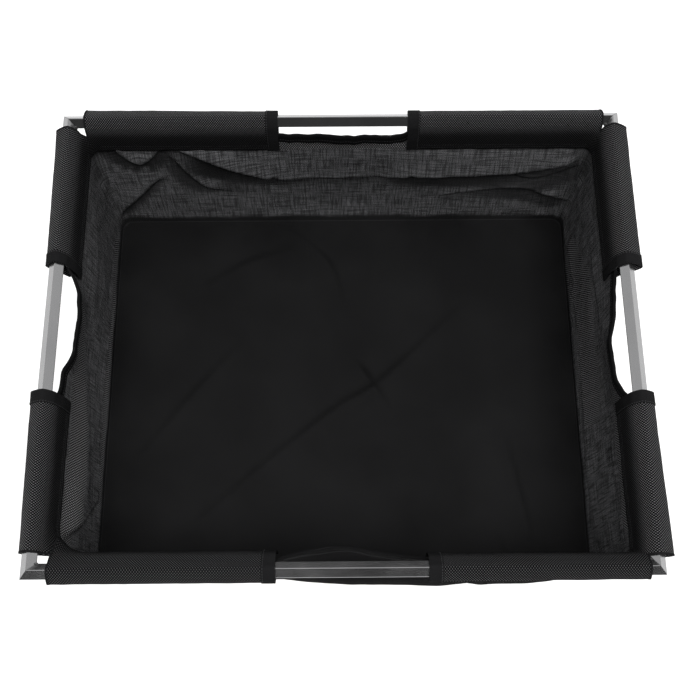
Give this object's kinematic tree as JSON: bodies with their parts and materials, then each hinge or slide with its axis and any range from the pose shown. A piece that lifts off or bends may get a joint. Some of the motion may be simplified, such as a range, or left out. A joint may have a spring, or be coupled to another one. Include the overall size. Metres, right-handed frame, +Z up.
{
  "type": "garden cart",
  "caption": "Open rectangular fabric tub hung by sleeves in a square-tube rim, on a low wheeled base frame with swivel casters.",
  "frame": {"origin": "on the ground, under the middle of the tub", "axes": "+X along the length of the cart, +Z up, -Y towards the front"},
  "size_m": [0.7044, 0.5804, 0.4461],
  "materials": {
    "rim_paint": "satin silver grey",
    "sleeve_cloth": "coarse woven, matt",
    "wall_cloth": "fine woven, slight sheen",
    "floor_cloth": "fine woven, matt",
    "binding_tape": "woven tape, matt",
    "base_paint": "satin silver grey",
    "deck_wood": "sealed plywood",
    "zinc": "zinc plated",
    "hub_plastic": "moulded",
    "tyre_rubber": "moulded, matt",
    "pedal_plastic": "moulded"
  },
  "bodies": {
    "cart": {"rim_rail_front": "rim_paint", "rim_rail_right": "rim_paint", "rim_rail_back": "rim_paint", "rim_rail_left": "rim_paint", "tub_sleeve_front_a": "sleeve_cloth", "tub_sleeve_front_b": "sleeve_cloth", "tub_sleeve_right_a": "sleeve_cloth", "tub_sleeve_right_b": "sleeve_cloth", "tub_sleeve_back_a": "sleeve_cloth", "tub_sleeve_back_b": "sleeve_cloth", "tub_sleeve_left_a": "sleeve_cloth", "tub_sleeve_left_b": "sleeve_cloth", "tub_binding_front": "binding_tape", "tub_binding_right": "binding_tape", "tub_binding_back": "binding_tape", "tub_binding_left": "binding_tape", "tub_wall_front": "wall_cloth", "tub_wall_right": "wall_cloth", "tub_wall_back": "wall_cloth", "tub_wall_left": "wall_cloth", "tub_floor": "floor_cloth", "base_bar_front": "base_paint", "base_bar_right": "base_paint", "base_bar_back": "base_paint", "base_bar_left": "base_paint", "deck_board": "deck_wood", "caster_cross_plate_left": "base_paint", "caster_cross_plate_right": "base_paint", "post_front_left": "base_paint", "post_back_left": "base_paint", "post_front_right": "base_paint", "post_back_right": "base_paint", "caster_plate_front_left": "zinc", "caster_kingpin_front_left": "zinc", "caster_plate_back_left": "zinc", "caster_kingpin_back_left": "zinc", "caster_plate_front_right": "zinc", "caster_kingpin_front_right": "zinc", "caster_plate_back_right": "zinc", "caster_kingpin_back_right": "zinc"},
    "swivel_front_left": {"caster_fork_front_left": "zinc", "caster_axle_front_left": "zinc"},
    "wheel_front_left": {"caster_hub_front_left": "hub_plastic", "caster_tyre_front_left": "tyre_rubber"},
    "brake_front_left": {"caster_brake_pedal_front_left": "pedal_plastic"},
    "swivel_back_left": {"caster_fork_back_left": "zinc", "caster_axle_back_left": "zinc"},
    "wheel_back_left": {"caster_hub_back_left": "hub_plastic", "caster_tyre_back_left": "tyre_rubber"},
    "brake_back_left": {"caster_brake_pedal_back_left": "pedal_plastic"},
    "swivel_front_right": {"caster_fork_front_right": "zinc", "caster_axle_front_right": "zinc"},
    "wheel_front_right": {"caster_hub_front_right": "hub_plastic", "caster_tyre_front_right": "tyre_rubber"},
    "swivel_back_right": {"caster_fork_back_right": "zinc", "caster_axle_back_right": "zinc"},
    "wheel_back_right": {"caster_hub_back_right": "hub_plastic", "caster_tyre_back_right": "tyre_rubber"}
  },
  "joints": [
    {"name": "swivel_front_left", "type": "hinge", "parent": "cart", "child": "swivel_front_left", "pos_m": [-0.236, -0.195, 0.139], "axis": [0, 0, 1], "continuous": true},
    {"name": "spin_front_left", "type": "hinge", "parent": "swivel_front_left", "child": "wheel_front_left", "pos_m": [-0.274, -0.195, 0.0625], "axis": [0, 1, 0], "continuous": true},
    {"name": "brake_front_left", "type": "hinge", "parent": "swivel_front_left", "child": "brake_front_left", "pos_m": [-0.32, -0.195, 0.12], "axis": [0, -1, 0], "range_deg": [0, 18]},
    {"name": "swivel_back_left", "type": "hinge", "parent": "cart", "child": "swivel_back_left", "pos_m": [-0.236, 0.195, 0.139], "axis": [0, 0, 1], "continuous": true},
    {"name": "spin_back_left", "type": "hinge", "parent": "swivel_back_left", "child": "wheel_back_left", "pos_m": [-0.274, 0.195, 0.0625], "axis": [0, 1, 0], "continuous": true},
    {"name": "brake_back_left", "type": "hinge", "parent": "swivel_back_left", "child": "brake_back_left", "pos_m": [-0.32, 0.195, 0.12], "axis": [0, -1, 0], "range_deg": [0, 18]},
    {"name": "swivel_front_right", "type": "hinge", "parent": "cart", "child": "swivel_front_right", "pos_m": [0.236, -0.195, 0.139], "axis": [0, 0, 1], "continuous": true},
    {"name": "spin_front_right", "type": "hinge", "parent": "swivel_front_right", "child": "wheel_front_right", "pos_m": [0.198, -0.195, 0.0625], "axis": [0, 1, 0], "continuous": true},
    {"name": "swivel_back_right", "type": "hinge", "parent": "cart", "child": "swivel_back_right", "pos_m": [0.236, 0.195, 0.139], "axis": [0, 0, 1], "continuous": true},
    {"name": "spin_back_right", "type": "hinge", "parent": "swivel_back_right", "child": "wheel_back_right", "pos_m": [0.198, 0.195, 0.0625], "axis": [0, 1, 0], "continuous": true}
  ]
}
